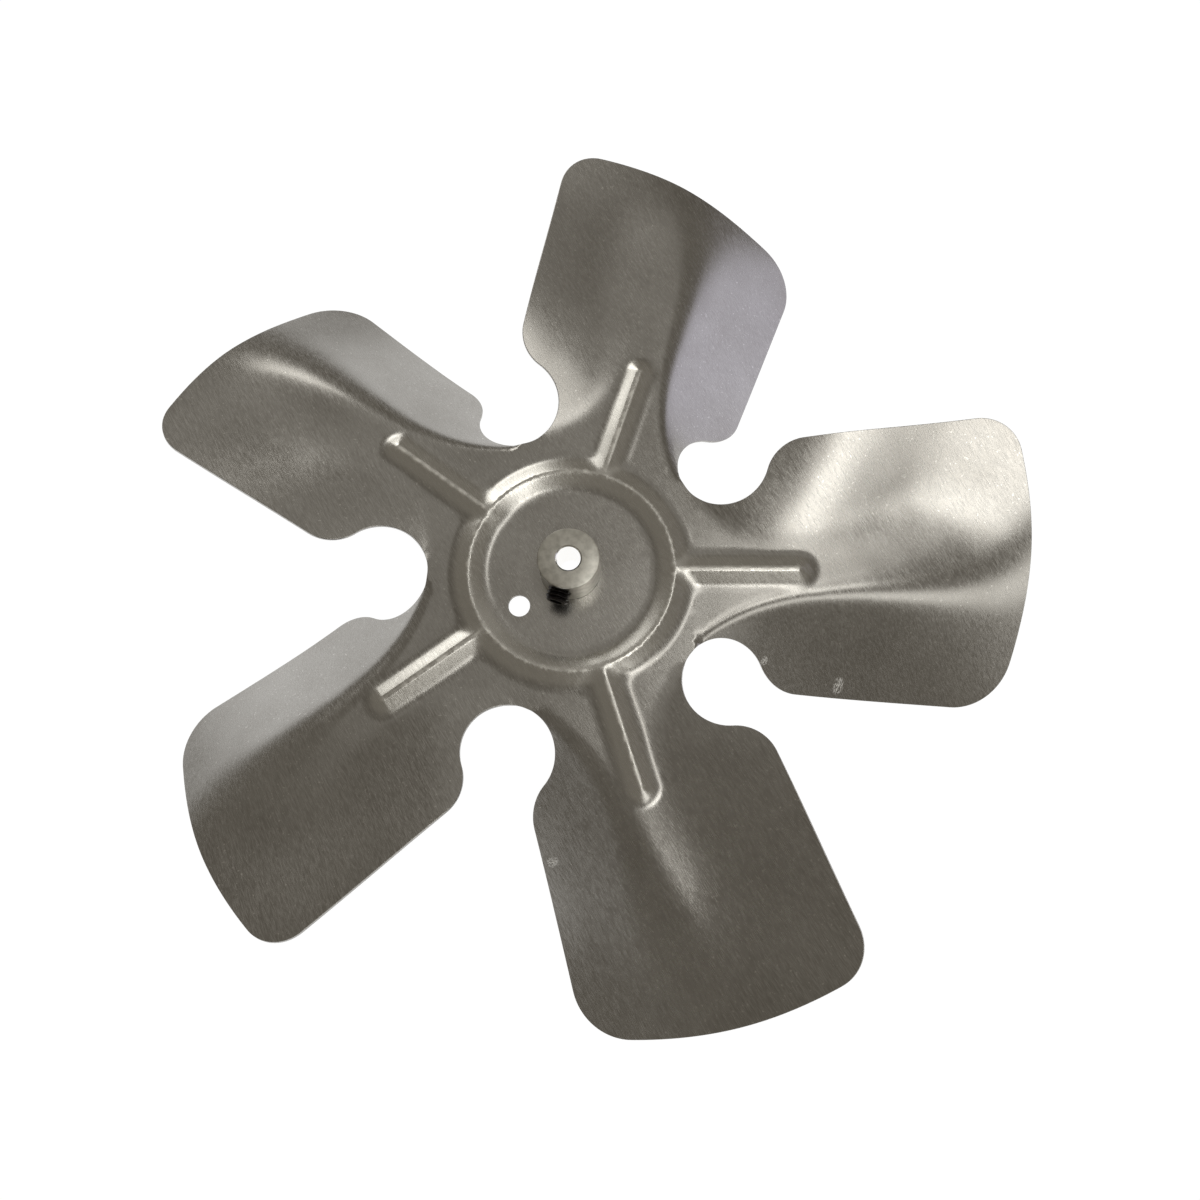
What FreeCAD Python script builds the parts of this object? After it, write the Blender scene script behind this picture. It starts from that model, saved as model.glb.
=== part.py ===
# Axial fan impeller: a pressed five-blade wheel, a turned hub and its set screw.
# Origin on the shaft axis, level with the upper face of the flat web.
# +Z runs along the shaft, out of the face that the hub stands on. Blade 0 points along +X.
import FreeCAD, Part
import math
import os
from FreeCAD import Matrix, Placement, Rotation, Vector

os.makedirs("parts", exist_ok=True)

# Wheel, in millimetres and degrees
blade_count = 5
tip_radius = 115.0
sheet = 1.0

# Blank: round gullets between the blades, then the two long sides of a blade.
# Each side is set by its distance from the blade's centre line at two stations.
gullet_radius = 11.3
gullet_centre = 48.3
root_station = 60.0
lead_root_width = 29.1
lead_tip_width = 32.4
lead_shoulder = 11.8
lead_corner = 13.2
trail_root_width = 32.8
trail_tip_width = 37.4
trail_shoulder = 10.0
trail_corner = 10.4

# Round bead, pressed up round the level floor
bead_inner_foot = 21.4
bead_crest = 26.3
bead_outer_foot = 31.2
bead_height = 2.0
web_radius = 33.0

# Ribs, pressed up along the blades from the bead outwards
rib_half_width = 5.0
rib_height = 1.85
rib_end_centre = 57.1
rib_margin = 0.2

# Folds. One row for each station along the blade: distance from the axis, then place,
# length and flap slope of the round fold down to the leading side, and place and flap slope
# of the slight fold up to the trailing side. Places are measured from the blade's centre line.
blade_folds = [
    (36.0, -15.5, 4.8, 0.86, 14.75, 0.24),
    (46.0, -10.25, 3.4, 0.80, 7.8, 0.22),
    (62.0, -7.1, 2.8, 0.84, 7.2, 0.30),
    (86.0, -6.75, 6.0, 0.86, 12.5, 0.38),
    (115.0, -2.75, 8.0, 0.70, 10.75, 0.36),
]
fold_first = 34.0
root_fold_start = 32.0
root_fold_length = 2.0

# The strip between the folds stays level by the rib, then pitches and drops towards the tip
pitch_start = 72.0
tip_pitch = 0.46
tip_drop = 2.6

# Lengthwise knots of the blade's skins, closest where the folds start.
# The skins run past the blank by a margin on every side.
skin_margin = 4.0
skin_knots = [22.0, 28.0, 30.0, 32.0, 34.0, 36.0, 38.0, 47.0, 56.0, 64.0, 72.0, 80.0, 92.0, 104.0]
skin_knots.append(tip_radius + skin_margin)

# Hub: plain bore, a spigot through the sheet and a rim upset over the far side
hub_diameter = 15.5
hub_height = 11.2
hub_chamfer = 0.4
bore_diameter = 6.0
bore_chamfer = 0.4
spigot_diameter = 11.0
spigot_clearance = 0.05
rim_diameter = 13.0
rim_thickness = 0.8

# Set screw, an M6 over the crests of its thread, and its tapped hole in the hub
screw_diameter = 5.86
screw_length = 6.0
screw_height = 6.4
screw_angle = -108.0
screw_tip = 4.4
screw_chamfer = 0.6
screw_cup = 3.0
thread_clearance = 0.05
socket_width = 3.0
socket_depth = 2.8

# Small hole through the floor
vent_diameter = 5.5
vent_radius = 16.0
vent_blade = 3

blade_pitch = 360.0 / blade_count
half_pitch = blade_pitch / 2.0
fold_low = -lead_tip_width * max(row[3] for row in blade_folds) - 4.0 * sheet
fold_high = trail_tip_width * max(row[5] for row in blade_folds) + 4.0 * sheet


def polar(radius, degrees, z=0.0):
    """Point at a radius and an angle round the shaft."""
    angle = math.radians(degrees)
    return Vector(radius * math.cos(angle), radius * math.sin(angle), z)


def turned(shape, number):
    """Copy of a shape, turned to another blade."""
    copy = shape.copy()
    copy.rotate(Vector(0, 0, 0), Vector(0, 0, 1), number * blade_pitch)
    return copy


def arc(centre, radius, start, end):
    """Short arc about a centre, from start to end."""
    middle = (start - centre).normalize() + (end - centre).normalize()
    return Part.Arc(start, centre + middle.normalize() * radius, end).toShape()


def closed(points):
    """Edges of a closed polygon."""
    return Part.makePolygon(points + [points[0]]).Edges


def revolve(points):
    """Solid swept by a closed section round the shaft's axis."""
    return Part.Face(Part.Wire(closed(points))).revolve(Vector(0, 0, 0), Vector(0, 0, 1), 360)


# Blank outline

def blade_side(root_width, tip_width, shoulder, corner):
    """Edges of one long side, from the gullet's bottom to the tip, for a side at positive Y."""
    root = Vector(root_station, root_width, 0)
    tip = Vector(tip_radius, tip_width, 0)
    along = (tip - root).normalize()
    inward = Vector(along.y, -along.x, 0)
    gullet = polar(gullet_centre, half_pitch)
    # The shoulder rounds from the gullet circle to the straight side
    offset = root + inward * shoulder - gullet
    half = offset.dot(along)
    reach = (gullet_radius + shoulder) ** 2
    shoulder_centre = gullet + offset + along * (math.sqrt(half ** 2 - offset.dot(offset) + reach) - half)
    # The outer corner rounds from the straight side to the tip circle
    offset = root + inward * corner
    half = offset.dot(along)
    reach = (tip_radius - corner) ** 2
    corner_centre = offset + along * (math.sqrt(half ** 2 - offset.dot(offset) + reach) - half)
    bottom = polar(gullet_centre - gullet_radius, half_pitch)
    leave_gullet = gullet + (shoulder_centre - gullet).normalize() * gullet_radius
    meet_side = shoulder_centre - inward * shoulder
    leave_side = corner_centre - inward * corner
    meet_tip = corner_centre * (tip_radius / corner_centre.Length)
    edges = [
        arc(gullet, gullet_radius, bottom, leave_gullet),
        arc(shoulder_centre, shoulder, leave_gullet, meet_side),
        Part.LineSegment(meet_side, leave_side).toShape(),
        arc(corner_centre, corner, leave_side, meet_tip),
    ]
    return edges, meet_tip


def sector_prism():
    """Upright prism over one blade and its share of the web."""
    trail, trail_tip = blade_side(trail_root_width, trail_tip_width, trail_shoulder, trail_corner)
    lead, lead_tip = blade_side(lead_root_width, lead_tip_width, lead_shoulder, lead_corner)
    mirror = Matrix()
    mirror.A22 = -1.0
    lead = [edge.transformGeometry(mirror) for edge in lead]
    lead_tip = Vector(lead_tip.x, -lead_tip.y, 0)
    bottom = gullet_centre - gullet_radius
    edges = lead + trail
    edges.append(arc(Vector(0, 0, 0), tip_radius, lead_tip, trail_tip))
    edges.append(Part.LineSegment(Vector(0, 0, 0), polar(bottom, -half_pitch)).toShape())
    edges.append(Part.LineSegment(Vector(0, 0, 0), polar(bottom, half_pitch)).toShape())
    face = Part.Face(Part.Wire(Part.__sortEdges__(edges)))
    face.translate(Vector(0, 0, fold_low))
    return face.extrude(Vector(0, 0, fold_high - fold_low))


# Folded blade

def between_stations(column, x):
    """Value of a fold column at x, on the smooth curve through the stations."""
    x = max(x, fold_first)
    total = 0.0
    for row in blade_folds:
        weight = 1.0
        for other in blade_folds:
            if other is not row:
                weight *= (x - other[0]) / (row[0] - other[0])
        total += weight * row[column]
    return total


def fold_growth(x):
    """Share of the full slopes at x: none at the web, all past the root."""
    share = min(max((x - root_fold_start) / root_fold_length, 0.0), 1.0)
    return share * share * (3.0 - 2.0 * share)


def blade_section(x, depth, reach):
    """Corners of the blade's section at x, for each stretch: flap, round fold, strip and flap.

    A depth gives the section that far below, measured square to each stretch."""
    to_tip = (max(x - pitch_start, 0.0) / (tip_radius - pitch_start)) ** 2
    down_place, down_length, down_slope, up_place, up_slope = [
        between_stations(column, x) for column in range(1, 6)]
    down_slope *= fold_growth(x)
    up_slope *= fold_growth(x)
    slope = tip_pitch * to_tip
    slopes = [down_slope, down_slope, slope, slope, up_slope]
    half = down_length / 2.0
    across = [-reach, down_place - half, down_place, down_place + half, up_place, reach]
    corners = []
    for number, y in enumerate(across):
        height = slope * y - tip_drop * to_tip
        height += (down_slope - slope) * min(y - down_place, 0.0) + (up_slope - slope) * max(y - up_place, 0.0)
        before = Vector(0, -slopes[max(number - 1, 0)], 1).normalize()
        after = Vector(0, -slopes[min(number, len(slopes) - 1)], 1).normalize()
        inward = (before + after) * (depth / (1.0 + before.dot(after)))
        corners.append(Vector(x, y, height) - inward)
    return [corners[0:2], corners[1:4], corners[3:5], corners[4:6]]


def blade_skin(depth):
    """Surfaces lofted along the blade's sections, one for each stretch."""
    reach = max(lead_tip_width, trail_tip_width) + skin_margin
    repeats = [4] + [1] * (len(skin_knots) - 2) + [4]
    full = [skin_knots[0]] * 3 + skin_knots + [skin_knots[-1]] * 3
    stations = [sum(full[number:number + 3]) / 3.0 for number in range(1, len(full) - 3)]
    sections = [blade_section(x, depth, reach) for x in stations]
    skin = []
    for stretch in range(len(sections[0])):
        corners = [section[stretch] for section in sections]
        degree = len(corners[0]) - 1
        surface = Part.BSplineSurface()
        surface.buildFromPolesMultsKnots(
            corners, repeats, [degree + 1, degree + 1], skin_knots, [0, 1], False, False, 3, degree)
        skin.append(surface)
    return skin


def blade(web):
    """One blade: the slab between its two skins, cut to the blank's outline."""
    upper = blade_skin(0.0)
    lower = blade_skin(sheet)
    faces = [surface.toShape() for surface in upper + lower]
    borders = [(upper[0].vIso(0), lower[0].vIso(0)), (upper[-1].vIso(1), lower[-1].vIso(1))]
    for above, below in zip(upper, lower):
        start, end = above.bounds()[0:2]
        borders += [(above.uIso(start), below.uIso(start)), (above.uIso(end), below.uIso(end))]
    faces += [Part.makeRuledSurface(first.toShape(), second.toShape()) for first, second in borders]
    shell = Part.makeShell(faces)
    shell.sewShape()
    slab = Part.Solid(shell)
    if slab.Volume < 0:
        slab.reverse()
    return slab.common(sector_prism().cut(web))


# Web with bead and ribs

def ridge(start, end, height, lift):
    """Foot, crest and foot of a pressed ridge, seen square to its run.

    A lift of the sheet's thickness gives the corners of the lower face."""
    half = (end - start) / 2.0
    flank = math.atan2(height, half)
    inset = lift * math.tan(flank / 2.0)
    crest = Vector(start + half, 0, height - lift / math.cos(flank))
    return Vector(start + inset, 0, -lift), crest, Vector(end - inset, 0, -lift)


def bead_disc():
    """Disc with the bead standing on it, solid underneath down to the sheet's lower face."""
    left, crest, right = ridge(bead_inner_foot, bead_outer_foot, bead_height, 0.0)
    return revolve([left, crest, right, Vector(web_radius, 0, 0), Vector(web_radius, 0, -sheet),
                    Vector(0, 0, -sheet), Vector(0, 0, 0)])


def bead_hollow():
    """Space under the bead's sheet."""
    left, crest, right = ridge(bead_inner_foot, bead_outer_foot, bead_height, sheet)
    deep = Vector(0, 0, -sheet)
    return revolve([left, crest, right, right + deep, left + deep])


def rib_solid(lift):
    """Straight ridge on blade 0 with a half-round end: the rib itself, or the hollow under it."""
    left, crest, right = ridge(-rib_half_width, rib_half_width, rib_height, lift)
    deep = Vector(0, 0, -sheet / 2.0)
    face = Part.Face(Part.Wire(closed([left, crest, right, right + deep, left + deep])))
    face.rotate(Vector(0, 0, 0), Vector(0, 0, 1), 90)
    face.translate(Vector(bead_crest, 0, 0))
    straight = face.extrude(Vector(rib_end_centre - bead_crest, 0, 0))
    half = Part.Face(Part.Wire(closed([crest, right, right + deep, Vector(0, 0, right.z + deep.z)])))
    half.translate(Vector(rib_end_centre, 0, 0))
    half.rotate(Vector(rib_end_centre, 0, 0), Vector(0, 0, 1), -90)
    return straight.fuse(half.revolve(Vector(rib_end_centre, 0, 0), Vector(0, 0, 1), 180))


def rib_pad(low, high):
    """Flat strip of web that carries the rib of blade 0."""
    width = rib_half_width + rib_margin
    strip = Part.makeBox(rib_end_centre, 2 * width, high - low, Vector(0, -width, low))
    return strip.fuse(Part.makeCylinder(width, high - low, Vector(rib_end_centre, 0, low)))


def web_prism(low, high):
    """Upright prism over the flat web: a disc and one strip for each blade."""
    disc = Part.makeCylinder(web_radius, high - low, Vector(0, 0, low))
    return disc.multiFuse([turned(rib_pad(low, high), number) for number in range(blade_count)])


def blade_wheel():
    """The pressed wheel, as one solid."""
    web = web_prism(fold_low, fold_high)
    blade_0 = blade(web)
    blades = [turned(blade_0, number) for number in range(blade_count)]
    pads = [turned(rib_pad(-sheet, 0.0), number) for number in range(blade_count)]
    ribs = [turned(rib_solid(0.0), number) for number in range(blade_count)]
    hollows = [turned(rib_solid(sheet), number) for number in range(blade_count)]
    pressed = bead_disc().multiFuse(pads + ribs).cut(bead_hollow().multiFuse(hollows))
    shaft_hole_radius = spigot_diameter / 2 + spigot_clearance
    shaft_hole = Part.makeCylinder(shaft_hole_radius, 3 * sheet, Vector(0, 0, -2 * sheet))
    vent_place = polar(vent_radius, vent_blade * blade_pitch, -2 * sheet)
    vent = Part.makeCylinder(vent_diameter / 2, 3 * sheet, vent_place)
    return pressed.cut([shaft_hole, vent]).multiFuse(blades).removeSplitter()


# Hub

def screw_direction():
    return polar(1.0, screw_angle)


def hub():
    """Turned boss with its bore, its tapped hole and the rim that holds it to the sheet."""
    bore = bore_diameter / 2
    outer = hub_diameter / 2
    spigot = spigot_diameter / 2
    rim = rim_diameter / 2
    low = -sheet - rim_thickness
    body = revolve([
        Vector(bore, 0, low), Vector(bore, 0, hub_height - bore_chamfer),
        Vector(bore + bore_chamfer, 0, hub_height), Vector(outer - hub_chamfer, 0, hub_height),
        Vector(outer, 0, hub_height - hub_chamfer), Vector(outer, 0, 0), Vector(spigot, 0, 0),
        Vector(spigot, 0, -sheet), Vector(rim, 0, -sheet), Vector(rim, 0, low),
    ])
    hole_radius = screw_diameter / 2 + thread_clearance
    hole = Part.makeCylinder(hole_radius, hub_diameter, Vector(0, 0, screw_height), screw_direction())
    return body.cut(hole)


# Set screw

def set_screw():
    """Headless screw with a hexagon socket and a pointed end, lying along the hub's tapped hole."""
    radius = screw_diameter / 2
    body = revolve([
        Vector(0, 0, 0), Vector(screw_cup / 2, 0, 0), Vector(radius, 0, radius - screw_cup / 2),
        Vector(radius, 0, screw_length - screw_chamfer), Vector(radius - screw_chamfer, 0, screw_length),
        Vector(0, 0, screw_length),
    ])
    corner = socket_width / 2.0 / math.cos(math.pi / 6.0)
    hexagon = [polar(corner, 60 * side, screw_length - socket_depth) for side in range(6)]
    socket = Part.Face(Part.Wire(closed(hexagon))).extrude(Vector(0, 0, 2 * socket_depth))
    screw = body.cut(socket)
    turn = Rotation(Vector(0, 0, 1), screw_direction())
    screw.Placement = Placement(screw_direction() * screw_tip + Vector(0, 0, screw_height), turn)
    return screw


for name, shape in (("blade_wheel", blade_wheel()), ("hub", hub()), ("set_screw", set_screw())):
    shape.exportStep("parts/" + name + ".step")
    box = shape.BoundBox
    print(name, "solids", len(shape.Solids), "faces", len(shape.Faces), "valid", shape.isValid(),
          "volume", round(shape.Volume, 1), "z", round(box.ZMin, 2), round(box.ZMax, 2))
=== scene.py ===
import math

import bmesh
import bpy
from mathutils import Matrix, Vector, noise
from mathutils.geometry import delaunay_2d_cdt


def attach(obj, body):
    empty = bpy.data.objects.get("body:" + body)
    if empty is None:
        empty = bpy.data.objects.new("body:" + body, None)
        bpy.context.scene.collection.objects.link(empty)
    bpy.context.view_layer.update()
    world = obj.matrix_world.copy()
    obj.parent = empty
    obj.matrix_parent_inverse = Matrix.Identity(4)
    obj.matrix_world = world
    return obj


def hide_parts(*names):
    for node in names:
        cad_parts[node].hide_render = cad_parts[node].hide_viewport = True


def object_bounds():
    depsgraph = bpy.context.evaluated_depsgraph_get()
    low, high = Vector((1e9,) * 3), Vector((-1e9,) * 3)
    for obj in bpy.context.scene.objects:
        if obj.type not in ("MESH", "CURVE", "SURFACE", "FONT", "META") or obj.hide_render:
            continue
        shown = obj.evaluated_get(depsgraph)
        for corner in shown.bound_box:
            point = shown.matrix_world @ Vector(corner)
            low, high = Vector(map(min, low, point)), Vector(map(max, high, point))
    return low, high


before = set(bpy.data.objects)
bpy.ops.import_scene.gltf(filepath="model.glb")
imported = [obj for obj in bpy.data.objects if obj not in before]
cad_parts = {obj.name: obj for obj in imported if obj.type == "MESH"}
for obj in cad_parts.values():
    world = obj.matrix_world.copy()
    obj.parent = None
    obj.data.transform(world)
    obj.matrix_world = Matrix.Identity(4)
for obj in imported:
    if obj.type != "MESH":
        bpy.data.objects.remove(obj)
cad_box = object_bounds()

# Pressed wheel: one blank of 1 mm rolled aluminium sheet. A tool presses the bead and the
# ribs up and folds the blades down in front and up behind, then the blank is punched out.
# The hub is upset into its middle hole. Sizes are in millimetres, as on the solid.
MM = 0.001
sheet = 1.0
edge_round = 0.12
tip_radius = 115.0
gullet_radius = 11.3
gullet_centre = 48.3
blade_count = 5
half_pitch = math.radians(36)
full_pitch = 2 * half_pitch
bead_crest = 26.3
bead_half_width = 4.5
bead_height = 2.0
rib_half_width = 4.4
rib_height = 1.85
rib_start = 28.0
rib_end = 57.1
corner_blend = 1.4
foot_blend = 0.55
crest_round = 0.35
floor_edge = 20.0
spigot_hole = 5.6
vent_radius = 2.75
vent_place = 16.0
vent_angle = math.radians(216)

# Folds at stations along the blade: station, then place, length and slope of the round fold
# down to the leading side, then place, length and slope of the fold up to the trailing side
blade_folds = [
    (36.0, -15.5, 6.6, 0.86, 14.75, 8.0, 0.24),
    (46.0, -10.0, 6.6, 0.80, 7.8, 9.0, 0.22),
    (62.0, -6.3, 9.0, 0.84, 7.2, 15.0, 0.30),
    (86.0, -4.9, 18.0, 0.84, 12.5, 22.0, 0.38),
    (115.0, -0.9, 24.0, 0.67, 10.75, 20.0, 0.36),
]
fold_first = 34.0
root_fold_start = 31.0
root_fold_length = 3.5

# Towards the tip the middle of the blade pitches and drops
twist_start = 72.0
tip_pitch = 0.46
tip_drop = 2.6


def between_stations(column, x):
    """Value of a fold column at x, on the smooth curve through the stations."""
    x = max(x, fold_first)
    total = 0.0
    for row in blade_folds:
        weight = 1.0
        for other in blade_folds:
            if other is not row:
                weight *= (x - other[0]) / (row[0] - other[0])
        total += weight * row[column]
    return total


def fold(distance, length):
    """Rise past the start of a round fold, which ends in a slope of one."""
    share = distance / length
    if share <= 0:
        return 0.0
    if share >= 1:
        return distance - length / 2
    return length * (share ** 3 - share ** 4 / 2)


def eased(share):
    """Share from 0 to 1 that starts and ends gently."""
    share = min(max(share, 0.0), 1.0)
    return share * share * (3 - 2 * share)


def ridge(distance, half, height):
    """Height of a pressed ridge with a rounded crest; below zero past its foot."""
    return height / half * (half - math.hypot(distance, crest_round) + crest_round / 2)


def larger(a, b, blend):
    """The larger of two heights, with a round hollow where they cross."""
    gap = min(abs(a - b), blend)
    return max(a, b) + (blend - gap) ** 2 / (4 * blend)


def from_crests(x, y):
    """Distances from the crest of the bead and from the crest of the rib."""
    on_rib = min(max(x, rib_start), rib_end)
    return abs(math.hypot(x, y) - bead_crest), math.hypot(x - on_rib, y)


def pressed_height(x, y):
    """Height of the sheet's upper face over blade 0's share of the wheel."""
    height = 0.0
    if x > root_fold_start:
        folds = [between_stations(column, x) for column in range(1, 7)]
        down, down_length, down_slope, up, up_length, up_slope = folds
        grown = eased((x - root_fold_start) / root_fold_length)
        to_tip = (max(x - twist_start, 0.0) / (tip_radius - twist_start)) ** 2
        slope = tip_pitch * to_tip
        bent = (up_slope * grown - slope) * fold(y - up + up_length / 2, up_length)
        bent -= (down_slope * grown - slope) * fold(down + down_length / 2 - y, down_length)
        height = slope * y - tip_drop * to_tip + bent
    from_bead, from_rib = from_crests(x, y)
    bead = ridge(from_bead, bead_half_width, bead_height)
    rib = ridge(from_rib, rib_half_width, rib_height)
    return height + larger(larger(bead, rib, corner_blend), 0.0, foot_blend)


def wear_and_highlight_at(x, y):
    """How much the press tool has rubbed the pressed flanks, and how strongly the crests and rib
    ends are lightened: wear with a painted highlight.
    """
    from_bead, from_rib = from_crests(x, y)
    flank_fade = 1.6
    crest_fade = 0.5
    flank = max(bead_half_width - from_bead, rib_half_width - from_rib, 0.0) / flank_fade
    # A painted highlight: a lighter spot in the middle of the rib's rounded end
    end_highlight = 1.3 - math.hypot(x - rib_end, y) / 0.8
    crest = max(1 - from_bead / crest_fade, 1 - from_rib / crest_fade, end_highlight, 0.0)
    return min(flank, 1.0), min(crest, 1.0)


def wheel_surface(x, y, turn):
    """Point and normal of the upper face at plan place x, y of the blade turned by an angle."""
    cos, sin = math.cos(turn), math.sin(turn)

    def height(px, py):
        """Pressed height with the soft dents of handling, which differ from blade to blade."""
        gx, gy = px * cos - py * sin, px * sin + py * cos
        dents = 0.05 * noise.noise(Vector((gx, gy, 0)) / 17)
        dents += 0.02 * noise.noise(Vector((gx, gy, 50)) / 6)
        return pressed_height(px, py) + dents

    step = 0.04
    slope_x = (height(x + step, y) - height(x - step, y)) / (2 * step)
    slope_y = (height(x, y + step) - height(x, y - step)) / (2 * step)
    turned = Matrix.Rotation(turn, 3, "Z")
    normal = Vector((-slope_x, -slope_y, 1)).normalized()
    return turned @ Vector((x, y, height(x, y))), turned @ normal


def around_point(angle):
    """Plan point at a distance of one in a direction from the shaft."""
    return Vector((math.cos(angle), math.sin(angle)))


def arc_points(centre, radius, start, end, spacing):
    """Points from start up to end on an arc, by the short way, end left out."""
    first = math.atan2(start.y - centre.y, start.x - centre.x)
    sweep = math.atan2(end.y - centre.y, end.x - centre.x) - first
    sweep = (sweep + math.pi) % (2 * math.pi) - math.pi
    count = max(2, round(abs(sweep) * radius / spacing))
    return [centre + around_point(first + sweep * i / count) * radius for i in range(count)]


seam = around_point(half_pitch)
seam_before = Vector((seam.x, -seam.y))


def blade_side(root_width, tip_width, shoulder, corner):
    """Outline of one long side from the gullet's bottom to the tip, for a side at positive Y."""
    root_station = 60.0
    curve_step = 0.7
    root, tip = Vector((root_station, root_width)), Vector((tip_radius, tip_width))
    along = (tip - root).normalized()
    inward = Vector((along.y, -along.x))
    gullet = seam * gullet_centre
    offset = root + inward * shoulder - gullet
    half = offset.dot(along)
    reach = (gullet_radius + shoulder) ** 2
    advance = math.sqrt(half ** 2 - offset.dot(offset) + reach) - half
    shoulder_centre = gullet + offset + along * advance
    offset = root + inward * corner
    half = offset.dot(along)
    reach = (tip_radius - corner) ** 2
    advance = math.sqrt(half ** 2 - offset.dot(offset) + reach) - half
    corner_centre = offset + along * advance
    bottom = seam * (gullet_centre - gullet_radius)
    leave_gullet = gullet + (shoulder_centre - gullet).normalized() * gullet_radius
    meet_side = shoulder_centre - inward * shoulder
    leave_side = corner_centre - inward * corner
    meet_tip = corner_centre * (tip_radius / corner_centre.length)
    points = arc_points(gullet, gullet_radius, bottom, leave_gullet, curve_step)
    points += arc_points(shoulder_centre, shoulder, leave_gullet, meet_side, curve_step)
    count = round((leave_side - meet_side).length)
    points += [meet_side.lerp(leave_side, i / count) for i in range(count)]
    points += arc_points(corner_centre, corner, leave_side, meet_tip, curve_step)
    return points, meet_tip


# Outline of one blade from gullet to gullet, and the same drawn in by the rounding of the edge
trail, trail_tip = blade_side(root_width=32.8, tip_width=37.4, shoulder=10.0, corner=10.4)
lead, lead_tip = blade_side(root_width=29.1, tip_width=32.4, shoulder=11.8, corner=13.2)
lead_tip.y = -lead_tip.y
edge = [Vector((p.x, -p.y)) for p in lead]
edge += arc_points(Vector((0, 0)), tip_radius, lead_tip, trail_tip, 1.0)
edge += [trail_tip] + trail[::-1]
outward = []
for i in range(len(edge)):
    along = edge[min(i + 1, len(edge) - 1)] - edge[max(i - 1, 0)]
    outward.append(Vector((along.y, -along.x)).normalized())
outward[0] = seam_before
outward[-1] = seam
inset = [point - normal * edge_round for point, normal in zip(edge, outward)]

# Border of one blade's share of the wheel: floor edge, seam, outline and seam
floor_steps = 48
floor_angles = [half_pitch * (1 - 2 * i / floor_steps) for i in range(floor_steps + 1)]
border = [around_point(angle) * floor_edge for angle in floor_angles]
seam_steps = 34
seam_length = inset[0].length - floor_edge
seam_radii = [floor_edge + seam_length * i / seam_steps for i in range(1, seam_steps)]
border += [seam_before * radius for radius in seam_radii]
border += inset
border += [seam * radius for radius in reversed(seam_radii)]
plan = list(border)
taken = set()


def cell_of(point):
    """Small square of the plan that a point lies in."""
    cell = 0.34
    return int(point.x // cell), int(point.y // cell)


def claim(point):
    """Marks the cell of a plan point and the cells round it as taken."""
    column, row = cell_of(point)
    taken.update((column + i, row + j) for i in (-1, 0, 1) for j in (-1, 0, 1))


def offer(point):
    """Adds a plan point inside the share unless one is already there."""
    if cell_of(point) not in taken and abs(math.atan2(point.y, point.x)) < half_pitch:
        claim(point)
        plan.append(point)


for point in border:
    claim(point)

# Inside it, points lie close together on the bead, along the rib and round the rib's end
bead_step = 0.4
bead_rings = 31
rib_step = 0.42
rib_rows = 15
rib_band = 6.3
band_start = 30.0
for ring in range(1, bead_rings + 1):
    radius = floor_edge + bead_step * ring
    for angle in floor_angles:
        if radius < band_start or abs(radius * math.sin(angle)) > rib_band:
            offer(around_point(angle) * radius)
for row in range(-rib_rows, rib_rows + 1):
    for i in range(34):
        offer(Vector((band_start + 0.8 * i, rib_step * row)))
for ring in range(rib_rows + 1):
    for i in range(25):
        spoke = around_point(math.radians(-90 + 7.5 * i))
        offer(Vector((rib_end, 0)) + spoke * (0.1 + rib_step * ring))

# On the rest of the blade they lie on a coarser lattice
spacing = 1.25
past_bead = 32.9
past_rib = 64.5
for row in range(-32, 36):
    for i in range(76):
        point = Vector((26.0 + spacing * (i + 0.5 * (row % 2)), row * spacing * 0.87))
        beside_rib = abs(point.y) > rib_band + 0.5 or point.x > past_rib
        if point.length > past_bead and beside_rib:
            offer(point)
flat = delaunay_2d_cdt(plan, [], [list(range(len(border)))], 1, 1e-6)
plan_points, plan_faces = flat[0], flat[2]
place_of = {old: new for new, olds in enumerate(flat[3]) for old in olds}
first_edge = floor_steps + seam_steps

vertices = []
normals = []
wear_and_highlight = []
faces = []
known = {}


def keep_vertex(point, normal, layer):
    """Number of a vertex of the wheel, the same one where two blades' shares meet."""
    key = (round(point.x, 3), round(point.y, 3), layer)
    if key not in known:
        known[key] = len(vertices)
        vertices.append(point * MM)
        normals.append(normal)
        turn = round(math.atan2(point.y, point.x) / full_pitch) * full_pitch
        local = Matrix.Rotation(-turn, 3, "Z") @ point
        wear_and_highlight.append(wear_and_highlight_at(local.x, local.y))
    return known[key]


def wall(rim, outward_normals, closed):
    """Rounded cut edge of the sheet below a row of upper border points."""
    rows = []
    for (point, normal), out in zip(rim, outward_normals):
        out = (out - normal * out.dot(normal)).normalized()
        side = point + out * edge_round
        high, low = side - normal * edge_round, side - normal * (sheet - edge_round)
        tilt = normal * 0.3
        upper = keep_vertex(point, normal, "upper")
        rows.append((
            upper,
            keep_vertex(high, (out + tilt).normalized(), "wall high"),
            keep_vertex(low, (out - tilt).normalized(), "wall low"),
            keep_vertex(point - normal * sheet, -normal, ("lower", upper)),
        ))
    count = len(rows) if closed else len(rows) - 1
    for i in range(count):
        a, b = rows[i], rows[(i + 1) % len(rows)]
        for level in range(3):
            faces.append((a[level], a[level + 1], b[level + 1], b[level]))


def skin(points, triangles):
    """Upper and lower face of the sheet over a triangulated plan."""
    upper = {}
    lower = {}
    for i in sorted({corner for face in triangles for corner in face}):
        point, normal = points[i]
        upper[i] = keep_vertex(point, normal, "upper")
        lower[i] = keep_vertex(point - normal * sheet, -normal, ("lower", upper[i]))
    for a, b, c in triangles:
        faces.append((upper[a], upper[b], upper[c]))
        faces.append((lower[c], lower[b], lower[a]))


for blade in range(blade_count):
    turn = blade * full_pitch
    turned = Matrix.Rotation(turn, 3, "Z")
    points = [wheel_surface(p.x, p.y, turn) for p in plan_points]
    skin(points, plan_faces)
    rim = [points[place_of[first_edge + i]] for i in range(len(inset))]
    wall(rim, [turned @ normal.to_3d() for normal in outward], False)

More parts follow.
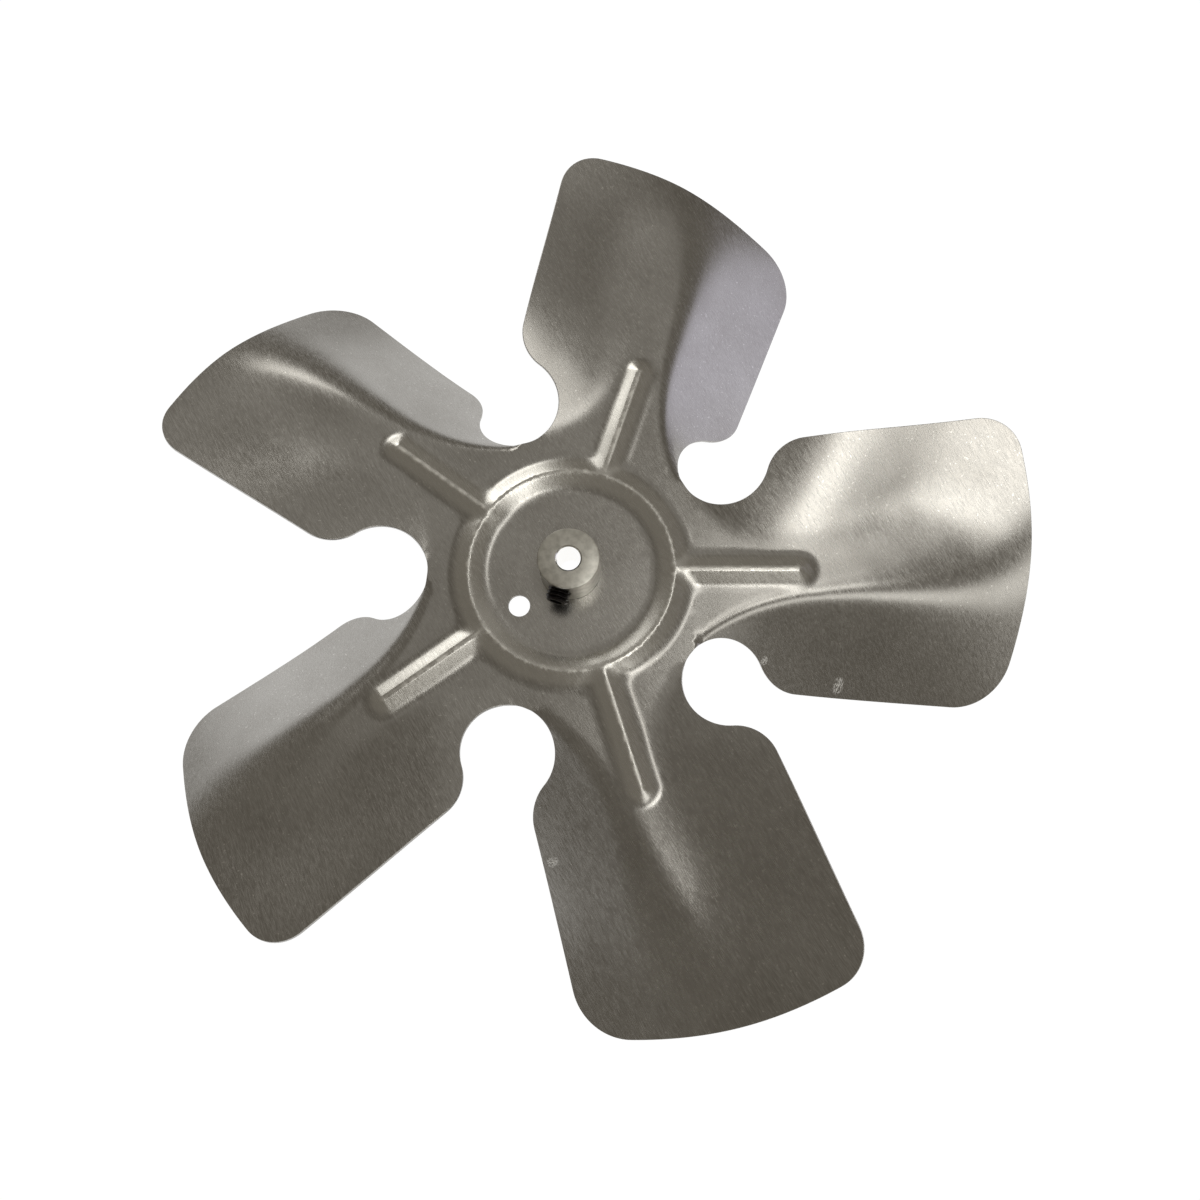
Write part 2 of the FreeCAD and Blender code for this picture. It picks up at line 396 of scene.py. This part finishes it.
# Level floor inside the bead, with the hole for the hub's spigot and the small off-centre hole
floor_plan = []
for i in range(blade_count * floor_steps):
    floor_plan.append(around_point(half_pitch * (1 - 2 * i / floor_steps)) * floor_edge)
floor_loop = list(range(len(floor_plan)))
holes = [(Vector((0, 0)), spigot_hole + edge_round),
         (around_point(vent_angle) * vent_place, vent_radius + edge_round)]
hole_steps = 64
hole_loops = []
for centre, radius in holes:
    hole_loops.append([len(floor_plan) + i for i in range(hole_steps)])
    floor_plan += [centre + around_point(i * 2 * math.pi / hole_steps) * radius
                   for i in range(hole_steps)]
spacing = 1.5
for row in range(-13, 14):
    for i in range(-13, 14):
        point = Vector((spacing * i, spacing * row))
        clear = all((point - centre).length > radius + 0.7 for centre, radius in holes)
        if point.length < floor_edge - 0.6 and clear:
            floor_plan.append(point)
hole_edges = [pair for loop in hole_loops for pair in zip(loop, loop[1:] + loop[:1])]
flat = delaunay_2d_cdt(floor_plan, hole_edges, [floor_loop], 1, 1e-6)
floor_places = {old: new for new, olds in enumerate(flat[3]) for old in olds}


def floor_surface(x, y):
    """The floor, on the same formula as the blade's share that it lies in."""
    turn = round(math.atan2(y, x) / full_pitch) * full_pitch
    local = Matrix.Rotation(-turn, 2) @ Vector((x, y))
    return wheel_surface(local.x, local.y, turn)


floor_points = [floor_surface(p.x, p.y) for p in flat[0]]
floor_faces = []
for face in flat[2]:
    middle = sum((flat[0][i] for i in face), Vector((0, 0))) / 3
    if all((middle - centre).length > radius * 0.999 for centre, radius in holes):
        floor_faces.append(face)
skin(floor_points, floor_faces)
for loop, (centre, radius) in zip(hole_loops, holes):
    rim = [floor_points[floor_places[i]] for i in loop]
    out = [(centre - point.to_2d()).normalized().to_3d() for point, normal in rim]
    wall(rim[::-1], out[::-1], True)

mesh = bpy.data.meshes.new("pressed_wheel")
mesh.from_pydata(vertices, [], faces)
mesh.validate()
mesh.shade_smooth()
mesh.normals_split_custom_set_from_vertices(normals)
# The crest attribute lightens the crests and rib ends: wear with a painted highlight
for number, name in enumerate(("rubbed_flank", "crest_wear_and_highlight")):
    mark = mesh.attributes.new(name, "FLOAT", "POINT")
    mark.data.foreach_set("value", [values[number] for values in wear_and_highlight])
wheel = bpy.data.objects.new("pressed_wheel", mesh)
bpy.context.collection.objects.link(wheel)


def linear(hex_colour):
    """sRGB hex colour as the linear values that a shader takes."""
    channels = [int(hex_colour[i:i + 2], 16) / 255 for i in (1, 3, 5)]
    return [c / 12.92 if c <= 0.04045 else ((c + 0.055) / 1.055) ** 2.4
            for c in channels] + [1.0]


def add_node(tree, kind, links=(), **settings):
    """New node with its settings and inputs by name, each link as (input, node, output).

    The inputs of a Math node share one name, so its second one is called second.
    """
    node = tree.nodes.new(kind)
    for name, value in settings.items():
        if hasattr(node, name):
            setattr(node, name, value)
        elif name == "second":
            node.inputs[1].default_value = value
        else:
            node.inputs[name.replace("_", " ")].default_value = value
    for name, other, output in links:
        tree.links.new(other.outputs[output], node.inputs[name])
    return node


# Rolled aluminium sheet, mill finish: satin, with the mill's fine grain running one way
# across the whole blank, cloudy in places, brighter where the press tool rubbed it, and painted
# lighter along the crests and at the rib ends as wear with a painted highlight
sheet_metal = bpy.data.materials.new("Rolled mill-finish aluminium")
sheet_metal.use_nodes = True
tree = sheet_metal.node_tree
shader = tree.nodes["Principled BSDF"]
shader.inputs["Metallic"].default_value = 1.0
place = add_node(tree, "ShaderNodeTexCoord")
# Grain: lines 0.28 mm across and 2.5 mm long, 58 degrees off the blade that points along X
grain_map = add_node(tree, "ShaderNodeMapping", [("Vector", place, "Object")],
                     vector_type="TEXTURE", Rotation=(0, 0, math.radians(-58)),
                     Scale=(2.5 * MM, 0.28 * MM, MM))
grain = add_node(tree, "ShaderNodeTexNoise", [("Vector", grain_map, "Vector")],
                 Scale=1.0, Detail=2.0, Roughness=0.6)
cloud = add_node(tree, "ShaderNodeTexNoise", [("Vector", place, "Object")],
                 Scale=45.0, Detail=4.0)
both = add_node(tree, "ShaderNodeMix", [("A", cloud, "Fac"), ("B", grain, "Fac")], Factor=0.6)
tone_share = add_node(tree, "ShaderNodeMapRange", [("Value", both, "Result")],
                      From_Min=0.34, From_Max=0.66)
tone = add_node(tree, "ShaderNodeMixRGB", [("Fac", tone_share, "Result")],
                Color1=linear("#9b9893"), Color2=linear("#b8b6b2"))
# Specks: light pinpricks about 0.3 mm across, from grit and handling
speck_noise = add_node(tree, "ShaderNodeTexNoise", [("Vector", place, "Object")],
                       Scale=1500.0, Detail=1.0)
specks = add_node(tree, "ShaderNodeMapRange", [("Value", speck_noise, "Fac")],
                  From_Min=0.68, From_Max=0.76, To_Max=0.5)
speckled = add_node(tree, "ShaderNodeMixRGB",
                    [("Fac", specks, "Result"), ("Color1", tone, "Color")],
                    Color2=linear("#e6e4df"))
# Tool marks: a lighter tone on the pressed flanks, and patchy bright wear on the crests
# with a painted highlight along them and a painted highlight spot at the rib ends
flank = add_node(tree, "ShaderNodeAttribute", attribute_name="rubbed_flank")
on_flank = add_node(tree, "ShaderNodeMath", [(0, flank, "Fac")],
                    operation="MULTIPLY", second=0.6)
flank_tone = add_node(tree, "ShaderNodeMixRGB",
                      [("Fac", on_flank, "Value"), ("Color1", speckled, "Color")],
                      Color2=linear("#dcdad4"))
crest = add_node(tree, "ShaderNodeAttribute", attribute_name="crest_wear_and_highlight")
patchy = add_node(tree, "ShaderNodeTexNoise", [("Vector", place, "Object")],
                  Scale=420.0, Detail=3.0)
patches = add_node(tree, "ShaderNodeMapRange", [("Value", patchy, "Fac")],
                   From_Min=0.42, From_Max=0.64)
# Mask of the crest wear and the painted highlight on crests and rib ends
crest_wear_and_highlight_mask = add_node(tree, "ShaderNodeMath", [(0, crest, "Fac"), (1, patches, "Result")],
                operation="MULTIPLY")
crest_wear_and_highlight_tone = add_node(tree, "ShaderNodeMixRGB",
                      [("Fac", crest_wear_and_highlight_mask, "Value"), ("Color1", flank_tone, "Color")],
                      Color2=linear("#f0eee8"))
# Scuffs: patches of short strokes at three edges, as place, half sizes and angle in degrees
scuffs = None
for x, y, half_long, half_wide, angle in ((69.6, -26.6, 2.3, 1.6, 80),
                                          (49.6, -21.4, 1.3, 1.0, 60),
                                          (-4.6, -72.6, 1.8, 1.4, 20)):
    spot_map = add_node(tree, "ShaderNodeMapping", [("Vector", place, "Object")],
                        vector_type="TEXTURE", Location=(x * MM, y * MM, 0),
                        Rotation=(0, 0, math.radians(angle)),
                        Scale=(half_long * MM, half_wide * MM, 1.0))
    reach = add_node(tree, "ShaderNodeVectorMath", [(0, spot_map, "Vector")],
                     operation="LENGTH")
    patch = add_node(tree, "ShaderNodeMapRange", [("Value", reach, "Value")],
                     From_Min=1.0, From_Max=0.5)
    stroke_map = add_node(tree, "ShaderNodeMapping", [("Vector", spot_map, "Vector")],
                          Scale=(1.2, 4.0, 0))
    strokes = add_node(tree, "ShaderNodeTexNoise", [("Vector", stroke_map, "Vector")],
                       Scale=1.6, Detail=2.0)
    stroke = add_node(tree, "ShaderNodeMapRange", [("Value", strokes, "Fac")],
                      From_Min=0.48, From_Max=0.56)
    scuff = add_node(tree, "ShaderNodeMath", [(0, patch, "Result"), (1, stroke, "Result")],
                     operation="MULTIPLY")
    if scuffs:
        scuff = add_node(tree, "ShaderNodeMath", [(0, scuffs, "Value"), (1, scuff, "Value")],
                         operation="MAXIMUM")
    scuffs = scuff
scuffed = add_node(tree, "ShaderNodeMixRGB",
                   [("Fac", scuffs, "Value"), ("Color1", crest_wear_and_highlight_tone, "Color")],
                   Color2=linear("#fdfcf8"))
tree.links.new(scuffed.outputs["Color"], shader.inputs["Base Color"])
rough = add_node(tree, "ShaderNodeMapRange", [("Value", grain, "Fac")],
                 From_Min=0.3, From_Max=0.7, To_Min=0.2, To_Max=0.3)
crest_matt = add_node(tree, "ShaderNodeMath", [(0, crest_wear_and_highlight_mask, "Value"), (2, rough, "Result")],
                      operation="MULTIPLY_ADD", second=0.25)
matt = add_node(tree, "ShaderNodeMath", [(0, scuffs, "Value"), (2, crest_matt, "Value")],
                operation="MULTIPLY_ADD", second=0.5)
tree.links.new(matt.outputs["Value"], shader.inputs["Roughness"])
bump = add_node(tree, "ShaderNodeBump", [("Height", grain, "Fac")],
                Strength=0.25, Distance=0.02 * MM)
tree.links.new(bump.outputs["Normal"], shader.inputs["Normal"])
wheel.data.materials.append(sheet_metal)
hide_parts("blade_wheel")
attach(wheel, "root")

# Hub: a boss turned from aluminium bar, with a plain bore and a tapped hole in its side.
# Its spigot goes through the sheet and is upset over the far side.
# Radius and height of its corners, up the bore and down the outside to the upset rim
hub_profile = [(3.0, -1.8), (3.0, 10.85), (3.35, 11.2), (7.35, 11.2), (7.62, 11.12),
               (7.75, 10.85), (7.75, 0.3), (7.45, 0.0), (5.5, 0.0), (5.5, -1.0),
               (6.5, -1.0), (6.5, -1.8)]
tapped_radius = 2.98
tapped_height = 6.4
screw_angle = math.radians(-108)
screw_axis = around_point(screw_angle).to_3d()
across = screw_axis.to_track_quat("Z", "Y")
hub_mesh = bpy.data.meshes.new("turned_hub")
hub = bpy.data.objects.new("turned_hub", hub_mesh)
bpy.context.collection.objects.link(hub)
form = bmesh.new()
profile = [form.verts.new((r * MM, 0, z * MM)) for r, z in hub_profile]
for a, b in zip(profile, profile[1:] + profile[:1]):
    form.edges.new((a, b))
form.to_mesh(hub_mesh)
form.free()
bpy.ops.object.select_all(action="DESELECT")
bpy.context.view_layer.objects.active = hub
hub.select_set(True)
bpy.ops.object.mode_set(mode="EDIT")
bpy.ops.mesh.select_all(action="SELECT")
bpy.ops.mesh.spin(steps=96, angle=2 * math.pi, center=(0, 0, 0), axis=(0, 0, 1))
bpy.ops.mesh.select_all(action="SELECT")
bpy.ops.mesh.remove_doubles(threshold=0.001 * MM)
bpy.ops.mesh.normals_make_consistent(inside=False)
bpy.ops.object.mode_set(mode="OBJECT")
bpy.ops.mesh.primitive_cylinder_add(
    vertices=64, radius=tapped_radius * MM, depth=10 * MM,
    location=(screw_axis * 5 + Vector((0, 0, tapped_height))) * MM)
drill = bpy.context.object
drill.rotation_euler = across.to_euler()
bpy.context.view_layer.update()


def cut_away(piece, tool, name):
    """Cuts a tool's shape out of a piece, then takes the tool away."""
    bpy.context.view_layer.objects.active = piece
    cut = piece.modifiers.new(name, "BOOLEAN")
    cut.object = tool
    cut.operation = "DIFFERENCE"
    cut.solver = "EXACT"
    bpy.ops.object.modifier_apply(modifier=name)
    bpy.data.objects.remove(tool, do_unlink=True)


def smooth_faces(piece, angle):
    """Smooth shading that keeps the edges sharper than an angle in degrees."""
    bpy.ops.object.select_all(action="DESELECT")
    piece.select_set(True)
    bpy.context.view_layer.objects.active = piece
    bpy.ops.object.shade_smooth_by_angle(angle=math.radians(angle))


cut_away(hub, drill, "Tapped hole")
smooth_faces(hub, 25)

# Fine-turned aluminium: dull grey and slightly mottled, with rings left by the turning tool
turned_metal = bpy.data.materials.new("Fine-turned aluminium")
turned_metal.use_nodes = True
tree = turned_metal.node_tree
shader = tree.nodes["Principled BSDF"]
shader.inputs["Metallic"].default_value = 1.0
place = add_node(tree, "ShaderNodeTexCoord")
flat_map = add_node(tree, "ShaderNodeMapping", [("Vector", place, "Object")], Scale=(1, 1, 0))
from_axis = add_node(tree, "ShaderNodeVectorMath", [(0, flat_map, "Vector")],
                     operation="LENGTH")
# The bore is reamed bright, out to its edge at 3.1 mm
turned_share = add_node(tree, "ShaderNodeMapRange", [("Value", from_axis, "Value")],
                        From_Min=3.06 * MM, From_Max=3.14 * MM)
mottle = add_node(tree, "ShaderNodeTexNoise", [("Vector", place, "Object")],
                  Scale=600.0, Detail=5.0)
mottle_share = add_node(tree, "ShaderNodeMapRange", [("Value", mottle, "Fac")],
                        From_Min=0.32, From_Max=0.6)
face_tone = add_node(tree, "ShaderNodeMixRGB", [("Fac", mottle_share, "Result")],
                     Color1=linear("#b3b1a9"), Color2=linear("#cfcdc5"))
hub_tone = add_node(tree, "ShaderNodeMixRGB",
                    [("Fac", turned_share, "Result"), ("Color2", face_tone, "Color")],
                    Color1=linear("#fbfaf7"))
tree.links.new(hub_tone.outputs["Color"], shader.inputs["Base Color"])
hub_rough = add_node(tree, "ShaderNodeMapRange", [("Value", turned_share, "Result")],
                     To_Min=0.08, To_Max=0.3)
tree.links.new(hub_rough.outputs["Result"], shader.inputs["Roughness"])
# Turning marks: rings 0.3 mm apart, coarser than the real ones so that they show
rings = add_node(tree, "ShaderNodeMath", [(0, from_axis, "Value")],
                 operation="MULTIPLY", second=2 * math.pi / (0.3 * MM))
ring_wave = add_node(tree, "ShaderNodeMath", [(0, rings, "Value")], operation="SINE")
ring_bump = add_node(tree, "ShaderNodeBump", [("Height", ring_wave, "Value")],
                     Strength=0.3, Distance=0.006 * MM)
tree.links.new(ring_bump.outputs["Normal"], shader.inputs["Normal"])
hub.data.materials.append(turned_metal)
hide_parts("hub")
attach(hub, "root")

# Set screw: M6 grub screw of steel with a rolled thread, a hexagon socket in its outer end
# and a cup point at the shaft. It is screwed into the side of the hub and stands out of it.
screw_length = 6.0
screw_reach = 4.4
thread_pitch = 1.0
root_radius = 2.38
thread_depth = 0.55
tooth_top = 0.85
end_radius = 2.35
point_radius = 1.55
chamfer = 0.9
cup_depth = 0.6
socket_across = 3.0
screw_rings = 90
around = 64
form = bmesh.new()
rows = []
for j in range(screw_rings + 1):
    along = screw_length * j / screw_rings
    row = []
    for i in range(around):
        angle = 2 * math.pi * i / around
        phase = (along / thread_pitch - i / around) % 1.0
        # The thread's flanks run straight from a narrow root to a flat crest
        tooth = min(max(1.9 * (0.5 - abs(phase - 0.5)) * 1.15 - 0.1, 0.0), tooth_top)
        radius = min(root_radius + thread_depth * tooth / tooth_top,
                     end_radius + chamfer * (screw_length - along),
                     point_radius + chamfer * along)
        row.append(form.verts.new((radius * math.cos(angle), radius * math.sin(angle), along)))
    rows.append(row)
for low, high in zip(rows, rows[1:]):
    for i in range(around):
        form.faces.new((low[i], low[(i + 1) % around], high[(i + 1) % around], high[i]))
cup = form.verts.new((0, 0, cup_depth))
for i in range(around):
    form.faces.new((rows[0][(i + 1) % around], rows[0][i], cup))
form.faces.new(rows[-1])
screw_mesh = bpy.data.meshes.new("grub_screw")
form.to_mesh(screw_mesh)
form.free()
screw = bpy.data.objects.new("grub_screw", screw_mesh)
bpy.context.collection.objects.link(screw)
bpy.ops.object.select_all(action="DESELECT")
bpy.ops.mesh.primitive_cylinder_add(vertices=6, radius=socket_across / math.sqrt(3),
                                    depth=5.6, location=(0, 0, screw_length))
cut_away(screw, bpy.context.object, "Hexagon socket")
seat = Matrix.Translation(screw_axis * screw_reach + Vector((0, 0, tapped_height)))
screw.data.transform(Matrix.Scale(MM, 4) @ seat @ across.to_matrix().to_4x4())
smooth_faces(screw, 30)

# Black-oxide steel: near black, with a soft oily sheen
black_oxide = bpy.data.materials.new("Black-oxide steel")
black_oxide.use_nodes = True
shader = black_oxide.node_tree.nodes["Principled BSDF"]
shader.inputs["Metallic"].default_value = 1.0
shader.inputs["Base Color"].default_value = linear("#2b2827")
shader.inputs["Roughness"].default_value = 0.35
screw.data.materials.append(black_oxide)
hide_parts("set_screw")
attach(screw, "root")

# Table: a plain pale top under the lowest corners of the blades. The camera and the metal
# see it as white, and it keeps the wheel's shadow.
bpy.ops.object.select_all(action="DESELECT")
bpy.ops.mesh.primitive_plane_add(size=6.0, location=(0, 0, cad_box[0][2] - 0.5 * MM))
table = bpy.context.object
table.name = "table"
pale = bpy.data.materials.new("Pale table")
pale.use_nodes = True
tree = pale.node_tree
shader = tree.nodes["Principled BSDF"]
shader.inputs["Base Color"].default_value = linear("#f4f4f4")
shader.inputs["Roughness"].default_value = 0.9
rays = add_node(tree, "ShaderNodeLightPath")
seen = add_node(tree, "ShaderNodeMath",
                [(0, rays, "Is Camera Ray"), (1, rays, "Is Glossy Ray")], operation="MAXIMUM")
seen = add_node(tree, "ShaderNodeMath",
                [(0, seen, 0), (1, rays, "Is Transmission Ray")], operation="MAXIMUM")
white = add_node(tree, "ShaderNodeEmission", Strength=1.12)
share = add_node(tree, "ShaderNodeMath", [(0, seen, 0)], operation="MULTIPLY", second=0.87)
mix = add_node(tree, "ShaderNodeMixShader", [(0, share, 0), (1, shader, 0), (2, white, 0)])
tree.links.new(mix.outputs[0], tree.nodes["Material Output"].inputs["Surface"])
table.data.materials.append(pale)

# Light: a dim, slightly warm room, and soft lamps that the satin metal mirrors as streaks
scene = bpy.context.scene
world = bpy.data.worlds.new("Plain room")
scene.world = world
world.use_nodes = True
room = world.node_tree.nodes["Background"]
room.inputs["Color"].default_value = linear("#fff6e6")
room.inputs["Strength"].default_value = 0.22


def soft_lamp(name, azimuth, elevation, distance, width, height, power,
              colour="#fffefa", roll=0):
    """Rectangular lamp at a direction from the hub, turned to face it and rolled.

    Angles are in degrees, distance and size in metres, power in watts.
    """
    azimuth, elevation = math.radians(azimuth), math.radians(elevation)
    level = math.cos(elevation)
    direction = Vector((math.cos(azimuth) * level, math.sin(azimuth) * level,
                        math.sin(elevation)))
    data = bpy.data.lights.new(name, "AREA")
    data.shape = "RECTANGLE"
    data.size = width
    data.size_y = height
    data.energy = power
    data.color = linear(colour)[:3]
    lamp = bpy.data.objects.new(name, data)
    bpy.context.collection.objects.link(lamp)
    lamp.location = direction * distance
    facing = direction.to_track_quat("Z", "Y").to_matrix()
    lamp.rotation_euler = (facing @ Matrix.Rotation(math.radians(roll), 3, "Z")).to_euler()


soft_lamp("window_far", 119, 27, 1.2, 0.62, 0.3, 1.6)
soft_lamp("panel_front", 316, 68, 1.0, 0.21, 0.24, 0.41)
soft_lamp("strip_top", 358, 77, 1.0, 0.66, 0.15, 0.66)
soft_lamp("window_front", 308, 40, 1.2, 0.8, 0.22, 0.9, roll=-43)
soft_lamp("low_front", 316, 13, 1.2, 0.4, 0.3, 0.13)
soft_lamp("window_right", 10, 10, 1.2, 0.9, 0.5, 1.3, colour="#e7e7fc")
soft_lamp("ceiling", 78, 64, 1.2, 1.1, 1.1, 0.6)

# Camera: the photograph's view, nearly along the shaft from the hub side, 25 cm away
camera_data = bpy.data.cameras.new("camera")
camera_data.sensor_width = 36.0
camera_data.lens = 29.682
camera_data.shift_x = 0.04008
camera_data.shift_y = -0.00314
camera_data.clip_start = 0.01
camera = bpy.data.objects.new("camera", camera_data)
bpy.context.collection.objects.link(camera)
camera.location = (0.012818, -0.066556, 0.243734)
camera.rotation_euler = [math.radians(angle) for angle in (13.7908, 3.8558, 1.0)]
scene.camera = camera
scene.view_settings.view_transform = "Standard"
